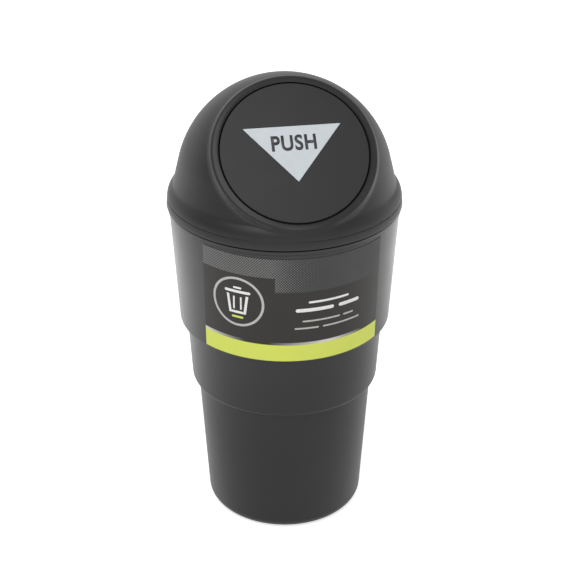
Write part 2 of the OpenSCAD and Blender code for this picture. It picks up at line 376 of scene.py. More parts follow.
# %% Turn the cup
def cup_profile():
    """Out over the foot, up the outside, over the lip and down the inside to the middle of the floor."""
    wall = WALL / math.cos(CONE)
    recess = BASE_R - FOOT_ROUND - FOOT_RING
    bead_foot, bead_top = SHOULDER_Z - BEAD_H, SHOULDER_Z - LID_GAP
    under_bead = bead_foot - BEAD_OUT
    lip, mouth = top_r(SHOULDER_Z) - LIP_IN, top_r(SHOULDER_Z) - wall
    outside = [(0, FOOT_RISE), (recess, FOOT_RISE), (recess + FOOT_RISE, 0)]
    outside += lower_corner(BASE_R, 0, FOOT_ROUND) + [(low_r(LOW_Z), LOW_Z)]
    outside += lower_corner(mid_r(LOW_Z), LOW_Z, LOW_ROUND) + [(mid_r(HIGH_Z), HIGH_Z)]
    outside += lower_corner(top_r(HIGH_Z), HIGH_Z, HIGH_ROUND)
    outside += [(top_r(under_bead), under_bead), (top_r(bead_foot) + BEAD_OUT, bead_foot)]
    outside += [(top_r(bead_top) + BEAD_OUT, bead_top), (lip, bead_top)]
    outside += [(lip, LIP_TOP), (mouth, LIP_TOP), (mouth, SHOULDER_Z)]
    high, low, floor_z = HIGH_Z + WALL, LOW_Z + WALL, FLOOR_T + FOOT_RISE
    inside = [(top_r(high) - wall, high), (mid_r(high) - wall, high)]
    inside += [(mid_r(low) - wall, low), (low_r(low) - wall, low)]
    inside += lower_corner(low_r(floor_z) - wall, floor_z, FOOT_ROUND - WALL)[::-1] + [(0, floor_z)]
    return outside + inside


cup = turned("cup", cup_profile(), body_plastic)
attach(cup, "bin")
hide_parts("bin_body")
print("cup:", len(cup.data.vertices), "points")

# %% [markdown]
# ## The lid's skin
#
# On the real lid the dome, the wall round the opening and the shoulder of the rim flow into each other
# in soft hollows. Each form has a simple distance rule, and a smooth minimum of the rules joins them as
# if with a fillet. Rays from inside the dome find where the joined distance is zero, row by row from the
# opening's edge down to the rim. The rest of the lid, from the rim's band to its inside, follows as more
# rings, and the last ring meets the first, so the lid is one closed skin.

# %% Sizes of the dome and the rim
# The dome is a ball down to an angle above level, and from there a short cone down to its foot
DOME_Z = 125.45
DOME_R = 36.917
DOME_WALL = 1.6
FOOT_ANGLE = math.radians(15.7)
FOOT_R = 37.717
FOOT_Z = 126.5
# Height of the crease between the dome and the shoulder
CREASE_Z = 125.5
RIM_R = 40.317
RIM_Z = 118.3
RIM_IN_R = 39.317
# The band and the shoulder's foot lean in a little as they rise: the band by a length, the shoulder
# by a share of its height
BAND_LEAN = 0.24
SHOULDER_LEAN = 0.12
SHOULDER_R = RIM_R - BAND_LEAN
SHOULDER_FOOT = 121.5
# A fine groove lies between the band and the shoulder
BAND_TOP = 121.03
GROOVE_IN = 0.2
BAND_EDGE = 0.18
SKIRT_R = 37.664
SKIRT_IN_R = 36.464
SKIRT_FOOT = 114.1
# The skirt's foot tapers, so that it finds its way into the cup
TAPER_IN, TAPER_H = 0.6, 1.2

# %% Sizes of the opening and the hinge
FACE_TILT = 44.6
FACE_D = 27.091
FACE_DROP = 0.8
HOLE_R = 24.9
# The opening is a little narrower than in the solids, so the gap round the flap isn't a black line
SEEN_HOLE_R = HOLE_R - 0.12
HOLE_EDGE = 0.07
COLLAR_R = 27.4
COLLAR_DEPTH = 4.5
COLLAR_ROUND = 1.1
HINGE_UP = 18.0
HINGE_IN = 4.4
LUG_R = 2.4
LUG_SPAN = (17.405, 19.605)

face_frame = (
    Matrix.Translation(Vector((0, 0, DOME_Z)) * MM)
    @ Matrix.Rotation(math.radians(90 - FACE_TILT), 4, "X")
    @ Matrix.Translation(Vector((0, -FACE_DROP, FACE_D)) * MM)
)

# %% Outlines of the dome, outside and inside
BALL_STEPS = 40
# Heights over the crease where the straight cone ends and where the soft hollow starts
CONE_END = 4.0
HOLLOW_START = 2.5
# Inside, the cone ends at this height and leads over to the skirt
INNER_CONE_END = 122.2
# The outlines are closed at these heights, below all that the rays reach
OUTER_END = 116.0
INNER_END = 112.0
# How high the pulling point of the shoulder's curve lies, as a share of the curve's height
SHOULDER_PULL = 0.62


def dome_outline(inset, foot_z):
    """From the top of the ball down its side, then down the short cone to height foot_z."""
    side = arc(0, DOME_Z, DOME_R - inset, 90, math.degrees(FOOT_ANGLE), BALL_STEPS)
    cone_r, cone_z = DOME_R * math.cos(FOOT_ANGLE), DOME_Z + DOME_R * math.sin(FOOT_ANGLE)
    spread = (FOOT_R - cone_r) / (cone_z - FOOT_Z)
    foot_r = cone_r + spread * (cone_z - foot_z) - inset
    # The cone's first point stands a hair off the ball's last one, so that no stretch has length zero
    return side + [(cone_r - inset + SAME_POINT, cone_z), (foot_r, foot_z)]


def shoulder(steps=5):
    """The rounded shoulder, a curve from the crease out to the rim."""
    crease = dome_outline(0, CREASE_Z)[-1]
    rim = (SHOULDER_R, SHOULDER_FOOT)
    rise = SHOULDER_PULL * (crease[1] - rim[1])
    pull = (rim[0] - SHOULDER_LEAN * rise, rim[1] + rise)
    points = []
    for i in range(1, steps + 1):
        t = i / steps
        first, second, third = (1 - t) ** 2, 2 * t * (1 - t), t * t
        points.append(tuple(first * a + second * b + third * c for a, b, c in zip(crease, pull, rim)))
    return points


def softened(points, passes=3):
    """Cuts the corners of a line of points again and again, which rounds them; both ends stay."""
    for _ in range(passes):
        cut = [points[0]]
        for (r0, z0), (r1, z1) in zip(points, points[1:]):
            cut += [((3 * r0 + r1) / 4, (3 * z0 + z1) / 4), ((r0 + 3 * r1) / 4, (z0 + 3 * z1) / 4)]
        points = cut + [points[-1]]
    return points


hollow_side = [dome_outline(0, CREASE_Z + HOLLOW_START)[-1], dome_outline(0, CREASE_Z)[-1]] + shoulder()
outer_outline = dome_outline(0, CREASE_Z + CONE_END) + softened(hollow_side)
outer_outline += [(SHOULDER_R, OUTER_END), (0, OUTER_END)]
inner_outline = dome_outline(DOME_WALL, INNER_CONE_END)
inner_outline += [(SKIRT_IN_R, LIP_TOP), (SKIRT_IN_R, INNER_END), (0, INNER_END)]
print("the lid's outline has", len(outer_outline), "points outside and", len(inner_outline), "inside")


# %% Distance rules
# Width of the soft hollow where the dome meets the wall round the opening
HOLLOW = 1.3
world_to_face = np.array(face_frame.inverted())


def to_outline(points, outline):
    """Distance from points to a turned outline, below zero inside it."""
    r, z = np.hypot(points[..., 0], points[..., 1]), points[..., 2]
    nearest, inside = np.full(r.shape, np.inf), np.zeros(r.shape, bool)
    for (r0, z0), (r1, z1) in zip(outline, outline[1:] + outline[:1]):
        dr, dz = r1 - r0, z1 - z0
        along = np.clip(((r - r0) * dr + (z - z0) * dz) / (dr * dr + dz * dz), 0, 1)
        nearest = np.minimum(nearest, np.hypot(r - r0 - along * dr, z - z0 - along * dz))
        if dz:
            inside ^= ((z0 > z) != (z1 > z)) & (r < r0 + (z - z0) * dr / dz)
    return np.where(inside, -nearest, nearest)


def to_collar(points):
    """Distance to the round wall of the opening, with its outer edge rounded."""
    local = points * MM @ world_to_face[:3, :3].T + world_to_face[:3, 3]
    across = np.hypot(local[..., 0], local[..., 1]) / MM - (COLLAR_R - COLLAR_ROUND)
    over = local[..., 2] / MM + COLLAR_ROUND
    beyond = np.hypot(np.maximum(across, 0), np.maximum(over, 0))
    wall = beyond + np.minimum(np.maximum(across, over), 0) - COLLAR_ROUND
    return np.maximum(wall, -over - 2 * COLLAR_DEPTH)


def smooth_union(a, b, reach):
    near = np.maximum(reach - np.abs(a - b), 0) / reach
    return np.minimum(a, b) - near * near * reach / 4


def outside_skin(points):
    return smooth_union(to_outline(points, outer_outline), to_collar(points), HOLLOW)


def inside_skin(points):
    return to_outline(points, inner_outline)


# %% Rows of the skin
COLUMNS = 320
# Rows lie close together within this angle of the opening's edge, and further out they spread
EDGE_ZONE = math.radians(9.0)
ROW_SPREAD = 1.5
# A ray ends between these distances, and the stretch that holds its end is halved again and again
RAY_REACH = (22.0, 60.0)
HALVINGS = 22

dome_middle = np.array((0.0, 0.0, DOME_Z))
column_angles = 2 * np.pi * np.arange(COLUMNS) / COLUMNS
round_axis = np.stack([np.cos(column_angles), np.sin(column_angles)], 1)


def level_ring(r, z):
    return np.column_stack([round_axis * r, np.full(COLUMNS, z)])


def face_ring(r, depth):
    """A ring in the frame of the opening's face."""
    local = np.column_stack([round_axis * r, np.full(COLUMNS, -depth)]) * MM
    matrix = np.array(face_frame)
    return (local @ matrix[:3, :3].T + matrix[:3, 3]) / MM


def traced_rows(first, last, rule, close, rest):
    """Rows on the surface of a rule, between the directions of two rings seen from the dome's middle.

    close and rest are how many rows lie near the first ring and how many follow."""
    a, b = (ring - dome_middle for ring in (first, last))
    a, b = (v / np.linalg.norm(v, axis=1, keepdims=True) for v in (a, b))
    wide = np.arccos(np.clip((a * b).sum(1), -1, 1))[:, None]
    near = np.minimum(EDGE_ZONE, wide / 2)
    turns = [near * (i / close) for i in range(close)]
    turns += [near + (wide - near) * (1 - (1 - i / rest) ** ROW_SPREAD) for i in range(rest)]
    way = np.array([(np.sin(wide - turn) * a + np.sin(turn) * b) / np.sin(wide) for turn in turns])
    low, high = (np.full(way.shape[:2], reach) for reach in RAY_REACH)
    for _ in range(HALVINGS):
        middle = (low + high) / 2
        outside = rule(dome_middle + way * middle[..., None]) > 0
        high, low = np.where(outside, middle, high), np.where(outside, low, middle)
    return list(dome_middle + way * high[..., None])


# %% Lay the rings in a row
# Height over the skirt where the inside's rows begin, then how far in from the collar's outside the
# last of them aims, and how far in the ring at the collar's back lies
INNER_START = 119.0
LAST_ROW_IN, COLLAR_BACK_IN = 0.3, 0.4

outer_edge = face_ring(SEEN_HOLE_R + HOLE_EDGE, 0)
outer_rows = traced_rows(outer_edge, level_ring(SHOULDER_R, SHOULDER_FOOT), outside_skin, 28, 50)
rim_outline = arc(SHOULDER_R - GROOVE_IN, SHOULDER_FOOT, GROOVE_IN, 0, -90, 4)
rim_outline += arc(SHOULDER_R - GROOVE_IN, BAND_TOP - GROOVE_IN, GROOVE_IN, 90, 11, 5)
rim_outline += arc(RIM_R - BAND_EDGE, RIM_Z + BAND_EDGE, BAND_EDGE, 0, -90, 5)
rim_outline += [(RIM_IN_R, RIM_Z), (RIM_IN_R, LIP_TOP), (SKIRT_R, LIP_TOP)]
rim_outline += [(SKIRT_R, SKIRT_FOOT + TAPER_H), (SKIRT_R - TAPER_IN, SKIRT_FOOT), (SKIRT_IN_R, SKIRT_FOOT)]
inner_foot = level_ring(SKIRT_IN_R, INNER_START)
collar_back = face_ring(COLLAR_R - LAST_ROW_IN, COLLAR_DEPTH)
inner_rows = traced_rows(collar_back, inner_foot, inside_skin, 8, 24)
rings = outer_rows + [level_ring(r, z) for r, z in rim_outline] + [inner_foot] + inner_rows[:0:-1]
rings += [face_ring(r, COLLAR_DEPTH) for r in (COLLAR_R - COLLAR_BACK_IN, SEEN_HOLE_R)]
rings += [face_ring(SEEN_HOLE_R, HOLE_EDGE)]
print("the lid has", len(rings), "rings of", COLUMNS, "points")


# %% Join the rings
def skin_of_rings(name, rings, material):
    """A closed skin through rings of points, the last of which meets the first."""
    points = np.concatenate(rings) * MM
    count, wide = len(rings), len(rings[0])
    faces = []
    for j in range(count):
        here, there = j * wide, (j + 1) % count * wide
        for i in range(wide):
            k = (i + 1) % wide
            faces.append((here + i, here + k, there + k, there + i))
    mesh = bpy.data.meshes.new(name)
    mesh.from_pydata(points.tolist(), [], faces)
    mesh.materials.append(material)
    return close_and_smooth(add_object(name, mesh), sharp_degrees=40.0)


lid = skin_of_rings("lid_skin", rings, lid_plastic)
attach(lid, "lid")
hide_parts("lid")
print("the lid's skin has", len(lid.data.polygons), "faces")

# %% [markdown]
# ## The hinge lugs
#
# Behind the collar two round lugs hold the hinge pin. Each is a short turned disc, laid on the hinge's
# line, and a Boolean with a round bar takes away what would stand in the opening.

# %% Lugs
BAR_LENGTH = 60.0


def cut_by_hole(piece):
    """Takes away what would stand in the opening, with a Boolean against a round bar."""
    bar_mesh = bpy.data.meshes.new("hole_bar")
    work = bmesh.new()
    radii = {"radius1": HOLE_R * MM, "radius2": HOLE_R * MM}
    bmesh.ops.create_cone(work, cap_ends=True, segments=SEGMENTS, depth=BAR_LENGTH * MM, **radii)
    work.transform(face_frame)
    work.to_mesh(bar_mesh)
    work.free()
    hole_bar = add_object("hole_bar", bar_mesh)
    cutter = piece.modifiers.new("hole", "BOOLEAN")
    cutter.object, cutter.operation, cutter.solver = hole_bar, "DIFFERENCE", "EXACT"
    mesh = as_mesh(piece)
    piece.modifiers.clear()
    piece.data = mesh
    bpy.data.objects.remove(hole_bar)
    return close_and_smooth(piece)


lug_thick = LUG_SPAN[1] - LUG_SPAN[0]
for side, start in (("left", -LUG_SPAN[1]), ("right", LUG_SPAN[0])):
    lug = turned(f"{side}_lug", [(0, 0), (LUG_R, 0), (LUG_R, lug_thick), (0, lug_thick)], lid_plastic)
    to_hinge = Matrix.Translation(Vector((start, HINGE_UP, -HINGE_IN)) * MM)
    lug.data.transform(face_frame @ to_hinge @ Matrix.Rotation(math.pi / 2, 4, "Y"))
    cut_by_hole(lug)
    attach(lug, "lid")
    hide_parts("lid")
    print(lug.name, "has", len(lug.data.polygons), "faces")

# %% [markdown]
# ## Flap and pin
#
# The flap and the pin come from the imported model, because their ears and stops are cut there. The packed
# mesh is loose flat triangles, so each piece is copied, its doubles are merged, and it is shaded smooth
# apart from its real edges.

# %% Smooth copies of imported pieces
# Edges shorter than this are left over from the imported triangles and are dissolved
SLIVER = 0.0005


def smooth_copy(node, name, material):
    piece = add_object(name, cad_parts[node].data.copy())
    work = bmesh.new()
    work.from_mesh(piece.data)
    bmesh.ops.remove_doubles(work, verts=work.verts, dist=MERGE * MM)
    bmesh.ops.dissolve_degenerate(work, edges=work.edges, dist=SLIVER * MM)
    work.to_mesh(piece.data)
    work.free()
    piece.data.materials.clear()
    piece.data.materials.append(material)
    print(name, "has", len(piece.data.polygons), "faces")
    return shaded(piece, sharp_degrees=28.0)


flap = smooth_copy("flap", "flap_disc", flap_plastic)
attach(flap, "flap")
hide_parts("flap")

# %% [markdown]
# ## Steel for the pin and the spring
#
# Both are drawn steel wire. Drawing leaves a bright, smooth surface, so the metal is pale and clean, and
# only its roughness changes slightly from place to place.


# %% Steel
def drawn_steel():
    material, tree, shader = new_material("drawn_steel")
    shade = tone(tree, "#9fa2a6", "#c3c6ca", patch_mm=2.0)
    paint(tree, shader, shade, patch_mm=0.6, low=0.22, high=0.38)
    shader.inputs["Metallic"].default_value = 1.0
    return material


steel = drawn_steel()
pin = smooth_copy("hinge_pin", "pin", steel)
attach(pin, "lid")
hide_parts("hinge_pin")

# %% [markdown]
# ## The printed film
#
# A printed film is glued round the front of the upper wall. The cup is a cone, so a square sheet wrapped
# on it shows edges that lean and a band that rises at its ends. The film is a grid wrapped in that way,
# and an attribute keeps where each point lies on the flat sheet, in millimetres, so the print is laid
# out as the printer would do it.

# %% Places on the film
FILM_T = 0.1
FILM_GLUE = 0.03
# Azimuth of the film's upright middle line, half its width, and its heights on that line
FILM_MIDDLE = math.radians(-4.5)
FILM_HALF = 33.0
FILM_HEIGHTS = (75.95, 114.85)
# The film's foot is cut to follow the ledge, so at its ends it hangs this much lower than a level line
FOOT_DROP = 0.45
FILM_BASE_R = top_r(0) + FILM_GLUE + FILM_T


def on_film(x, z, lift=0.0):
    """The point x mm to the right of the sheet's middle line and level with height z on it, in metres.

    The sheet is cut square and wrapped on a cone, so its level lines rise a little towards its ends."""
    from_tip = (FILM_BASE_R + DRAFT * z) / math.sin(CONE)
    far = math.hypot(x, from_tip)
    turn = FILM_MIDDLE + math.atan2(x, from_tip) / math.sin(CONE)
    r = far * math.sin(CONE)
    height = (r - FILM_BASE_R) / DRAFT
    return Vector(((r + lift) * math.sin(turn), -(r + lift) * math.cos(turn), height)) * MM


# %% The film's mesh
def film_mesh(columns=120, rows=24):
    """A front and a back grid of points, joined round their four edges."""
    z0, z1 = FILM_HEIGHTS
    mesh = bpy.data.meshes.new("film")
    flat, points, faces = [], [], []
    for lift in (0.0, -FILM_T):
        for j in range(rows + 1):
            for i in range(columns + 1):
                x = FILM_HALF * (2 * i / columns - 1)
                foot = z0 - FOOT_DROP * (x / FILM_HALF) ** 2
                z = foot + (z1 - foot) * j / rows
                flat.append((x, z, 0.0))
                points.append(on_film(x, z, lift))
    wide = columns + 1
    back = wide * (rows + 1)
    for j in range(rows):
        for i in range(columns):
            a = j * wide + i
            faces.append((a, a + 1, a + wide + 1, a + wide))
            faces.append((back + a, back + a + wide, back + a + wide + 1, back + a + 1))
    rim = list(range(wide)) + [j * wide + columns for j in range(1, rows + 1)]
    rim += [rows * wide + i for i in range(columns - 1, -1, -1)] + [j * wide for j in range(rows - 1, 0, -1)]
    for a, b in zip(rim, rim[1:] + rim[:1]):
        faces.append((b, a, back + a, back + b))
    mesh.from_pydata(points, [], faces)
    layer = mesh.attributes.new("flat_mm", "FLOAT_VECTOR", "POINT")
    layer.data.foreach_set("vector", [v for p in flat for v in p])
    return mesh


# %% [markdown]
# ## The print's colours
#
# The print is fields of colour: two dark panels, a green band with a silver line over it, and a halftone
# of fine dots that fades out to the right. Right of the middle the ground between the dots is painted
# lighter in a soft band, a painted highlight. Each field is a mask made from the flat position: a Map
# Range node gives an edge that is sharp or soft, and Math nodes join the edges. The halftone is a grid of
# round dots turned by 45 degrees, and the dots shrink to the right until they are gone. The silver line
# is bright at its left end, sinks away, and comes back once more to the right of the middle.

# %% Fields of the print
GREEN_TOP = 82.2
SILVER_TOP = 83.15
# Right edge and top of the panel on the left, and top of the one on the right
LEFT_PANEL = (-6.7, 107.8)
RIGHT_PANEL_TOP = 102.6
DOT_PITCH = 0.47
# Where the dots begin to shrink and where they are gone, and how high the wave is cut at each
DOT_FADE = (-8.0, 13.0)
DOT_CUT = (0.1, 2.4)
DOT_SOFT = 0.8
# Middle and half width of the soft edges where the painted highlight on the ground comes and goes
HIGHLIGHT_COMES, HIGHLIGHT_GOES = (5.0, 8.0), (25.0, 5.0)
# The same for the silver line: its end on the left, counted to the left, then its second stretch
SILVER_LEFT, SILVER_COMES, SILVER_GOES = (24.5, 7.5), (0.5, 9.5), (19.0, 6.0)


def step_up(tree, value, edge, soft=0.05):
    """A mask that goes from 0 to 1 as the value passes the edge."""
    return between(tree, value, 0.0, 1.0, (edge - soft, edge + soft))


def step_down(tree, value, edge, soft=0.05):
    """A mask that goes from 1 to 0 as the value passes the edge."""
    return math_node(tree, "SUBTRACT", 1.0, step_up(tree, value, edge, soft))


def dot_mask(tree, x, z):
    """Round dots on a grid that is turned by 45 degrees; they shrink from left to right."""
    waves = []
    for operation in ("ADD", "SUBTRACT"):
        along = math_node(tree, operation, x, z)
        turns = math_node(tree, "MULTIPLY", along, math.pi / DOT_PITCH)
        waves.append(math_node(tree, "COSINE", turns))
    height = math_node(tree, "ADD", waves[0], waves[1])
    cut = between(tree, x, *DOT_CUT, DOT_FADE)
    return step_up(tree, math_node(tree, "SUBTRACT", height, cut), 0.0, DOT_SOFT)


def open_mask(tree, x, z):
    """1 where the halftone shows, over the two panels."""
    over_left = step_up(tree, z, LEFT_PANEL[1])
    over_right = step_up(tree, z, RIGHT_PANEL_TOP, 0.35)
    right_side = math_node(tree, "MULTIPLY", step_up(tree, x, LEFT_PANEL[0]), over_right)
    return math_node(tree, "MAXIMUM", over_left, right_side)


def silver_mask(tree, x, z):
    """1 where the silver line shows."""
    left_end = step_up(tree, math_node(tree, "MULTIPLY", x, -1.0), *SILVER_LEFT)
    comes, goes = step_up(tree, x, *SILVER_COMES), step_down(tree, x, *SILVER_GOES)
    bright = math_node(tree, "MAXIMUM", left_end, math_node(tree, "MULTIPLY", comes, goes))
    return math_node(tree, "MULTIPLY", step_down(tree, z, SILVER_TOP, 0.1), bright)


# %% The film with its print
def printed_film():
    material, tree, shader = new_material("printed_film")
    place = add_node(tree, "ShaderNodeAttribute", attribute_name="flat_mm").outputs["Vector"]
    x, z = add_node(tree, "ShaderNodeSeparateXYZ", {0: place}).outputs[:2]
    # Painted highlight: right of the middle the ground is painted lighter in a soft band
    painted_highlight = math_node(tree, "SUBTRACT", step_up(tree, x, *HIGHLIGHT_COMES), step_up(tree, x, *HIGHLIGHT_GOES))
    ground = tone(tree, "#1a1a1c", "#1f1f21", patch_mm=18.0, detail=2.0)
    ground = mix_colour(tree, painted_highlight, ground, colour("#363637"))
    dotted = mix_colour(tree, dot_mask(tree, x, z), ground, colour("#7c7c7a"))
    panel = tone(tree, "#1c1916", "#211e1a", patch_mm=20.0, detail=2.0)
    fields = mix_colour(tree, open_mask(tree, x, z), panel, dotted)
    fields = mix_colour(tree, silver_mask(tree, x, z), fields, colour("#d4d3cd"))
    green = tone(tree, "#d5df5d", "#dbe466", patch_mm=3.0)
    fields = mix_colour(tree, step_down(tree, z, GREEN_TOP), fields, green)
    paint(tree, shader, fields, patch_mm=6.0, low=0.42, high=0.5)
    shader.inputs["Specular IOR Level"].default_value = 0.3
    # The glue leaves a shallow ripple in the film
    add_bump(tree, shader, size_mm=7.0, depth_mm=0.05, detail=1.0, strength=0.5)
    return material


film = add_object("film", film_mesh())
film.data.materials.append(printed_film())
close_and_smooth(film)
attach(film, "bin")
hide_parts("wrap_label")
print("the film is", 2 * FILM_HALF, "mm wide")

# %% [markdown]
# ## Plain marks on the film
#
# The left panel has a ring with a plain drawing of a bin, and the right one has four rows of plain bars.
# Each mark is a flat outline, cut into narrow strips so that it can bend, then wrapped on the film.

# %% Marks on the film
INK_T = 0.02
INK_LIGHTER = 1.12
STRIP = 0.8


def ink(name, hex_code):
    """A printing ink, a little lighter in patches."""
    material, tree, shader = new_material(name)
    low = colour(hex_code)
    high = tuple(min(1.0, c * INK_LIGHTER) for c in low[:3]) + (1.0,)
    shade = mix_colour(tree, noise_at(tree, 1.5), low, high)
    paint(tree, shader, shade, patch_mm=2.0, low=0.41, high=0.49)
    return material


def raised_faces(work):
    """Extrudes all faces of a flat drawing and gives back the points of the new ones."""
    new_parts = bmesh.ops.extrude_face_region(work, geom=work.faces[:])["geom"]
    return [part for part in new_parts if isinstance(part, bmesh.types.BMVert)]


def marks(name, outlines, material):
    """Wraps flat outlines of (x, z) points on the film as one thin piece."""
    work = bmesh.new()
    for outline in outlines:
        ring = [work.verts.new((x, z, 0.0)) for x, z in outline]
        work.faces.new(ring)
    reach = [v.co.x for v in work.verts]
    cut = min(reach) + STRIP
    while cut < max(reach):
        everything = work.verts[:] + work.edges[:] + work.faces[:]
        bmesh.ops.bisect_plane(work, geom=everything, plane_co=(cut, 0, 0), plane_no=(1, 0, 0))
        cut += STRIP
    bmesh.ops.recalc_face_normals(work, faces=work.faces)
    for face in work.faces:
        if face.normal.z < 0:
            face.normal_flip()
    for v in raised_faces(work):
        v.co.z = INK_T
    bmesh.ops.recalc_face_normals(work, faces=work.faces)
    for v in work.verts:
        v.co = on_film(v.co.x, v.co.y, v.co.z)
    mesh = bpy.data.meshes.new(name)
    work.to_mesh(mesh)
    work.free()
    mesh.materials.append(material)
    piece = add_object(name, mesh)
    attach(piece, "bin")
    return piece


def bar(x0, x1, z0, z1, end=0.0):
    """An upright rectangle, or a bar with rounded ends where end is set."""
    if not end:
        return [(x0, z0), (x1, z0), (x1, z1), (x0, z1)]
    r = (z1 - z0) / 2
    right = arc(x1 - r, z0 + r, r, -90, 90)
    left = arc(x0 + r, z0 + r, r, 90, 270)
    return right + left


white_ink = ink("white_ink", "#e4e4e2")
grey_ink = ink("grey_ink", "#b4b3b0")
green_ink = ink("green_ink", "#cbd95c")

# %% Rows of bars
ROWS_MIDDLE = 11.6
# Height of the foot and of the top of each row, and the bars in it, from the middle of the block
ROWS = [
    (98.1, 98.9, [(-7.2, 7.2)]),
    (94.95, 96.25, [(-11.5, 1.6), (3.4, 11.5)]),
    (91.05, 91.65, [(-9.2, 4.0), (5.2, 9.2)]),
    (88.35, 88.95, [(-11.8, -3.6), (-2.2, 11.8)]),
]
for number, (foot, top, spans) in enumerate(ROWS):
    strokes = [bar(ROWS_MIDDLE + a, ROWS_MIDDLE + b, foot, top, end=1) for a, b in spans]
    row = marks(f"film_bars_{number + 1}", strokes, white_ink if number < 2 else grey_ink)
    print(row.name, "has", len(row.data.polygons), "faces")

# %% The ring and the drawing of a bin
BADGE_MIDDLE = (-19.5, 97.2)
BADGE_R = 9.3
RING_W = 0.85
# Strength of the drawing's lines, and half the widths of its lid, handle, open top and foot
STROKE = 0.9
LID_HALF, HANDLE_HALF, TOP_HALF, FOOT_HALF = 4.6, 1.5, 3.9, 3.0
# Heights in the drawing, from its middle, then how far out each slot stands and half its width, and
# how far it stays from the foot and from the top
LID_LINE, HANDLE_LINE, DRAWN_TOP, DRAWN_FOOT = (3.4, 4.4), (5.0, 5.7), 2.6, -4.4
SLOT_OUT, SLOT_HALF, SLOT_OVER_FOOT, SLOT_UNDER_TOP = 1.25, 0.3, 1.6, 0.6
DASH_HALF, DASH_HEIGHTS = 2.1, (91.0, 91.8)


def ring_sectors(x, z, outer, inner, count=72):
    """A ring as short sectors, each a flat outline."""
    sectors = []
    for i in range(count):
        a, b = (2 * math.pi * k / count for k in (i, i + 1))
        corners = [(outer, a), (outer, b), (inner, b), (inner, a)]
        sectors.append([(x + r * math.cos(t), z + r * math.sin(t)) for r, t in corners])
    return sectors


def bin_drawing(x, z):
    """A tapered bin with two slots, a lid line and a handle."""
    shapes = []
    for half, (low, high) in ((LID_HALF, LID_LINE), (HANDLE_HALF, HANDLE_LINE)):
        shapes.append(bar(x - half, x + half, z + low, z + high, end=1))
    z_top, z_low = z + DRAWN_TOP, z + DRAWN_FOOT
    for side in (-1, 1):
        outer = [(side * TOP_HALF, z_top), (side * FOOT_HALF, z_low)]
        inner = [(side * (FOOT_HALF - STROKE), z_low), (side * (TOP_HALF - STROKE), z_top)]
        shapes.append([(x + dx, dz) for dx, dz in outer + inner])
        slot = x + side * SLOT_OUT
        slot_low, slot_top = z_low + SLOT_OVER_FOOT, z_top - SLOT_UNDER_TOP
        shapes.append(bar(slot - SLOT_HALF, slot + SLOT_HALF, slot_low, slot_top))
    shapes.append(bar(x - FOOT_HALF + STROKE, x + FOOT_HALF - STROKE, z_low, z_low + STROKE))
    return shapes


dash = bar(BADGE_MIDDLE[0] - DASH_HALF, BADGE_MIDDLE[0] + DASH_HALF, *DASH_HEIGHTS, end=1)
marks("badge_ring", ring_sectors(*BADGE_MIDDLE, BADGE_R, BADGE_R - RING_W), grey_ink)
marks("badge_drawing", bin_drawing(*BADGE_MIDDLE), white_ink)
marks("badge_dash", [dash], green_ink)
print("the ring is", 2 * BADGE_R, "mm wide")

# %% [markdown]
# ## The sticker and its word
#
# A silver triangle on the flap says where to press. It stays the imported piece, with a new finish. The
# word is set in Blender's own plain letters: the text is made a mesh while it is still flat, and only
# then stands on the flap.

# %% Sticker and word
STICKER_T = 0.15
# Lower left and upper right corner of the word on the flap's face
WORD_BOX = ((-7.4, 0.45), (7.4, 5.95))
# How far the letters' outlines are swollen, and the factor on the space between the letters
LETTER_SWELL = 0.03
LETTER_SPACE = 1.1


def silver_film():
    material, tree, shader = new_material("silver_film")
    shade = tone(tree, "#b1b8bc", "#bcc3c7", patch_mm=2.5, detail=4.0)
    paint(tree, shader, shade, patch_mm=0.5, low=0.36, high=0.5)
    return material


def flat_word(text):
    """The word as a flat mesh, in whatever size the letters have by themselves."""
    curve = bpy.data.curves.new("word", "FONT")
    curve.body = text
    curve.offset = LETTER_SWELL
    curve.space_character = LETTER_SPACE
    curve.resolution_u = 6
    flat = add_object("word_flat", curve)
    mesh = as_mesh(flat)
    bpy.data.objects.remove(flat)
    return mesh


def word_on_flap(text, material):
    mesh = flat_word(text)
    work = bmesh.new()
    work.from_mesh(mesh)
    bmesh.ops.remove_doubles(work, verts=work.verts, dist=1e-5)
    raised = raised_faces(work)
    xs, ys = [v.co.x for v in work.verts], [v.co.y for v in work.verts]
    (x0, y0), (x1, y1) = WORD_BOX
    for v in work.verts:
        v.co.x = (x0 + (v.co.x - min(xs)) / (max(xs) - min(xs)) * (x1 - x0)) * MM
        v.co.y = (y0 + (v.co.y - min(ys)) / (max(ys) - min(ys)) * (y1 - y0)) * MM
        v.co.z = STICKER_T * MM
    for v in raised:
        v.co.z += INK_T * MM
    bmesh.ops.recalc_face_normals(work, faces=work.faces)
    work.transform(face_frame)
    work.to_mesh(mesh)
    work.free()
    mesh.materials.clear()
    mesh.materials.append(material)
    mesh.name = "sticker_word"
    piece = add_object("sticker_word", mesh)
    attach(piece, "flap")
    return piece


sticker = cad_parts["push_sticker"]
sticker.data.materials.clear()
sticker.data.materials.append(silver_film())
word = word_on_flap("PUSH", ink("dark_ink", "#2d2d31"))
print("the word has", len(word.data.polygons), "faces")

# %% [markdown]
# ## The return spring
#
# The spring is a coil of wire round the hinge pin. A coil follows a rule, so a Geometry Nodes tree draws
# it: points along a line are turned round it, the two straight legs are the line's two end points, and
# a round profile follows them. Its inputs are the coil's own sizes. One leg lies on the flap and the
# other on the collar's back.

# %% Sizes of the spring
WIRE_R = 0.35
COIL_R = 1.75
COIL_TURNS = 8
COIL_PITCH = 0.85
COIL_LEN = COIL_TURNS * COIL_PITCH
STEPS_PER_TURN = 32
WIRE_SIDES = 14
FLAP_T = 1.6
LEG_GAP = 0.1
FLAP_LEG = 11.0
# How far the other leg reaches over the collar's back
LID_BEARING = 0.8


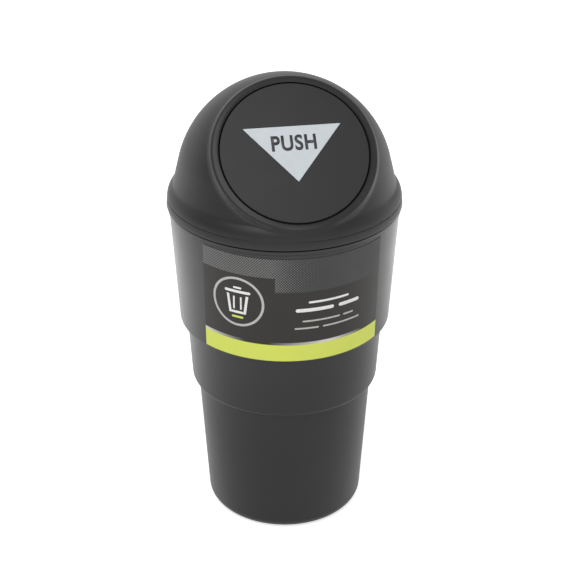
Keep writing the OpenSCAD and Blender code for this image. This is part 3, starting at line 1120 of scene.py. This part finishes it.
def leg(reach, rise, side):
    """Where a straight leg leaves the coil, in radians, and how long it is, to end at that place."""
    far = math.hypot(reach, rise)
    leaves = math.pi / 2 + side * (math.asin(COIL_R / far) - math.atan2(rise, reach))
    return leaves, math.sqrt(far**2 - COIL_R**2)


to_collar_edge = math.sqrt(HOLE_R**2 - COIL_LEN**2 / 4) - HINGE_UP
flap_leg = leg(FLAP_LEG, HINGE_IN - FLAP_T - WIRE_R - LEG_GAP, 1)
lid_leg = leg(to_collar_edge, HINGE_IN - COLLAR_DEPTH - WIRE_R - LEG_GAP, -1)
print("legs of the spring in mm:", round(flap_leg[1], 2), round(lid_leg[1] + LID_BEARING, 2))


# %% A tree that winds a wire
def spring_tree(material):
    """A row of points becomes the wire's middle line: all but the two end points lie on the coil."""
    sizes = ["Wire Radius", "Coil Radius", "Coil Length", "First Angle", "Last Angle"]
    sizes += ["First Leg", "Last Leg"]
    inputs = {label: ("Float", 1.0) for label in sizes}
    tree, start, end = new_tree("wound_wire", {**inputs, "Steps": ("Int", 100)})
    size = start.outputs

    def maths(operation, a, b=0.0, c=0.0):
        return math_node(tree, operation, a, b, c)

    row = add_node(tree, "GeometryNodeMeshLine", {"Count": maths("ADD", size["Steps"], 3.0)})
    index = add_node(tree, "GeometryNodeInputIndex").outputs[0]
    part = maths("DIVIDE", maths("SUBTRACT", index, 1.0), size["Steps"])
    part = maths("MINIMUM", maths("MAXIMUM", part, 0.0), 1.0)
    whole_turn = maths("SUBTRACT", size["Last Angle"], size["First Angle"])
    turn = maths("MULTIPLY_ADD", part, whole_turn, size["First Angle"])
    first = maths("MULTIPLY", maths("LESS_THAN", index, 0.5), size["First Leg"])
    past_coil = maths("GREATER_THAN", index, maths("ADD", size["Steps"], 1.5))
    out = maths("SUBTRACT", maths("MULTIPLY", past_coil, size["Last Leg"]), first)
    cosine, sine = maths("COSINE", turn), maths("SINE", turn)
    along = maths("MULTIPLY", maths("SUBTRACT", part, 0.5), size["Coil Length"])
    up = maths("MULTIPLY_ADD", size["Coil Radius"], cosine, maths("MULTIPLY", out, sine))
    deep = maths("SUBTRACT", maths("MULTIPLY", size["Coil Radius"], sine), maths("MULTIPLY", out, cosine))
    place = add_node(tree, "ShaderNodeCombineXYZ", {0: along, 1: up, 2: deep}).outputs[0]
    moved = add_node(tree, "GeometryNodeSetPosition", {"Geometry": row.outputs[0], "Position": place})
    line = add_node(tree, "GeometryNodeMeshToCurve", {"Mesh": moved.outputs[0]})
    circle = {"Resolution": WIRE_SIDES, "Radius": size["Wire Radius"]}
    section = add_node(tree, "GeometryNodeCurvePrimitiveCircle", circle)
    curves = {"Curve": line.outputs[0], "Profile Curve": section.outputs[0], "Fill Caps": True}
    finish_tree(tree, end, add_node(tree, "GeometryNodeCurveToMesh", curves).outputs[0], material)
    return tree


# %% Wind the spring
spring = grown(
    "spring",
    bpy.data.meshes.new("spring_seed"),
    spring_tree(steel),
    Wire_Radius=WIRE_R * MM,
    Coil_Radius=COIL_R * MM,
    Coil_Length=COIL_LEN * MM,
    First_Angle=math.pi - flap_leg[0] + 2 * math.pi * COIL_TURNS,
    Last_Angle=lid_leg[0],
    First_Leg=flap_leg[1] * MM,
    Last_Leg=(lid_leg[1] + LID_BEARING) * MM,
    Steps=COIL_TURNS * STEPS_PER_TURN,
)
spring.data.transform(face_frame @ Matrix.Translation(Vector((0, HINGE_UP, -HINGE_IN)) * MM))
close_and_smooth(spring, sharp_degrees=50.0)
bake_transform(spring)
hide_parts("return_spring")
print("the spring has", len(spring.data.polygons), "faces")

# %% [markdown]
# ## The floor
#
# The photograph has a plain white ground without a shadow, and the pale edges of the bin are what its
# shiny plastic mirrors of that ground. The floor is a plain matt white that also glows: to the camera,
# so that it shows white, and to reflections, in a ring round the bin. Light Path tells the two apart,
# and no other ray meets a glow, so the lamps stay at a plain level.

# %% Floor
FLOOR_HALF = 3.0
# Glow to the camera, close to the bin and far off where no lamp lights the floor any more, and the
# distances in metres between which it grows
SEEN_GLOW = (0.66, 1.0)
SEEN_REACH = (0.35, 1.1)
# Glow in reflections, close to the bin and a hand's width away, and the distances between which it grows.
# The weak glow close to the bin is a painted shadow of the bin on the floor
MIRRORED_GLOW = (0.3, 1.65)
GLOW_REACH = (0.098, 0.212)
# Further out it falls again to this share, between these distances
FAR_SHARE = 0.4
FAR_REACH = (0.22, 0.3)
# The middle of the ring lies this far to the right of the bin's axis
GLOW_SHIFT = 0.018


def white_ground():
    material, tree, shader = new_material("white_ground")
    shader.inputs["Base Color"].default_value = (0.8, 0.8, 0.8, 1.0)
    shader.inputs["Roughness"].default_value = 0.9
    shader.inputs["Specular IOR Level"].default_value = 0.0
    ray = add_node(tree, "ShaderNodeLightPath").outputs
    place = add_node(tree, "ShaderNodeTexCoord").outputs["Object"]
    shifted = add_node(tree, "ShaderNodeMapping", {"Vector": place, "Location": (-GLOW_SHIFT, 0, 0)})
    length = add_node(tree, "ShaderNodeVectorMath", {0: shifted.outputs[0]}, operation="LENGTH")
    away = length.outputs["Value"]
    seen = math_node(tree, "MULTIPLY", ray["Is Camera Ray"], between(tree, away, *SEEN_GLOW, SEEN_REACH))
    # Painted shadow: the reflected glow is weak close to the bin, where the bin shades the floor
    grows = between(tree, away, *MIRRORED_GLOW, GLOW_REACH)
    falls = between(tree, away, 1.0, FAR_SHARE, FAR_REACH)
    ring = math_node(tree, "MULTIPLY", grows, falls)
    strength = math_node(tree, "MULTIPLY_ADD", ray["Is Glossy Ray"], ring, seen)
    glow = add_node(tree, "ShaderNodeEmission", {"Color": WHITE, "Strength": strength})
    both = add_node(tree, "ShaderNodeAddShader", {0: shader.outputs[0], 1: glow.outputs[0]})
    tree.links.new(both.outputs[0], tree.nodes["Material Output"].inputs["Surface"])
    return material


def add_floor():
    mesh = bpy.data.meshes.new("floor")
    corners = [(-1, -1), (1, -1), (1, 1), (-1, 1)]
    mesh.from_pydata([(FLOOR_HALF * x, FLOOR_HALF * y, 0) for x, y in corners], [], [(0, 1, 2, 3)])
    mesh.materials.append(white_ground())
    floor = add_object("floor", mesh)
    return floor


floor = add_floor()
print("the floor is", round(floor.dimensions.x, 1), "m wide")

# %% [markdown]
# ## Lamps and backdrop
#
# Three large soft lamps light the bin: a strong one from above, and a weak one on each side for the side
# walls. The world is an even pale grey that shows white to the camera. Only in reflections it is
# brighter behind the bin, low in front and to the right, as the white sheets of a photographer's table
# would be, and these draw the soft highlights on the dome, the collar and the wall.

# %% Lamps
AIM_AT = 80.0
# Name, azimuth and elevation in degrees, distance and size in metres, and watts
LAMPS = [
    ("key_above", -25.0, 62.0, 1.1, (0.9, 0.9), 9.4),
    ("left_side", -120.0, 8.0, 1.0, (0.5, 1.0), 0.4),
    ("right_side", 108.0, 8.0, 1.0, (0.5, 1.0), 1.3),
]


def add_lamp(name, azimuth, elevation, distance, size, watts):
    """A soft lamp that looks at the middle of the bin. Azimuth 0 is in front of the flap."""
    data = bpy.data.lights.new(name, "AREA")
    data.shape = "RECTANGLE"
    data.size, data.size_y = size
    data.energy = watts
    lamp = add_object(name, data)
    a, e = math.radians(azimuth), math.radians(elevation)
    away = Vector((math.sin(a) * math.cos(e), -math.cos(a) * math.cos(e), math.sin(e))) * distance
    lamp.location = Vector((0, 0, AIM_AT * MM)) + away
    lamp.rotation_euler = (-away).to_track_quat("-Z", "Y").to_euler()
    return lamp


lamps = [add_lamp(*lamp) for lamp in LAMPS]
print("lamps:", [lamp.name for lamp in lamps])

# %% World
# Strength of the sky level with the bin and overhead, and the span of heights between the two
SKY, SKY_SPAN = (0.5, 0.44), (0.05, 0.55)
# What reflections see more of. A direction is a unit vector, X to the right, Y away from the viewer and
# Z up, and each light comes up while a sum of its parts passes through a span
BACK_LIGHT, BACK_SPAN = 0.8, (0.5, 0.95)
FRONT_LIGHT, FRONT_SPAN = 0.65, (-0.3, -0.8)
RIGHT_LIGHT, RIGHT_SPAN = 0.4, (0.4, 0.9)
# Share of X that turns the light behind the bin to the left, and of Z that sets the one in front low
BACK_TURN = -0.3
FRONT_DROP = 0.8


def studio_world():
    world = bpy.data.worlds.new("studio")
    world.use_nodes = True
    tree = world.node_tree
    ray = add_node(tree, "ShaderNodeLightPath").outputs
    direction = add_node(tree, "ShaderNodeTexCoord").outputs["Generated"]
    x, y, z = add_node(tree, "ShaderNodeSeparateXYZ", {0: direction}).outputs
    behind = math_node(tree, "MULTIPLY_ADD", x, BACK_TURN, y)
    in_front = math_node(tree, "MULTIPLY_ADD", z, FRONT_DROP, y)
    extra = between(tree, behind, 0.0, BACK_LIGHT, BACK_SPAN)
    for way, light, span in ((in_front, FRONT_LIGHT, FRONT_SPAN), (x, RIGHT_LIGHT, RIGHT_SPAN)):
        extra = math_node(tree, "ADD", extra, between(tree, way, 0.0, light, span))
    shown = math_node(tree, "MULTIPLY_ADD", ray["Is Glossy Ray"], extra, between(tree, z, *SKY, SKY_SPAN))
    white = math_node(tree, "MAXIMUM", ray["Is Camera Ray"], ray["Is Transmission Ray"])
    background = tree.nodes["Background"].inputs
    tree.links.new(between(tree, white, shown, 1.0), background["Strength"])
    background["Color"].default_value = WHITE
    return world


bpy.context.scene.world = studio_world()
bpy.context.scene.view_settings.view_transform = "Standard"
print("the world is", bpy.context.scene.world.name)
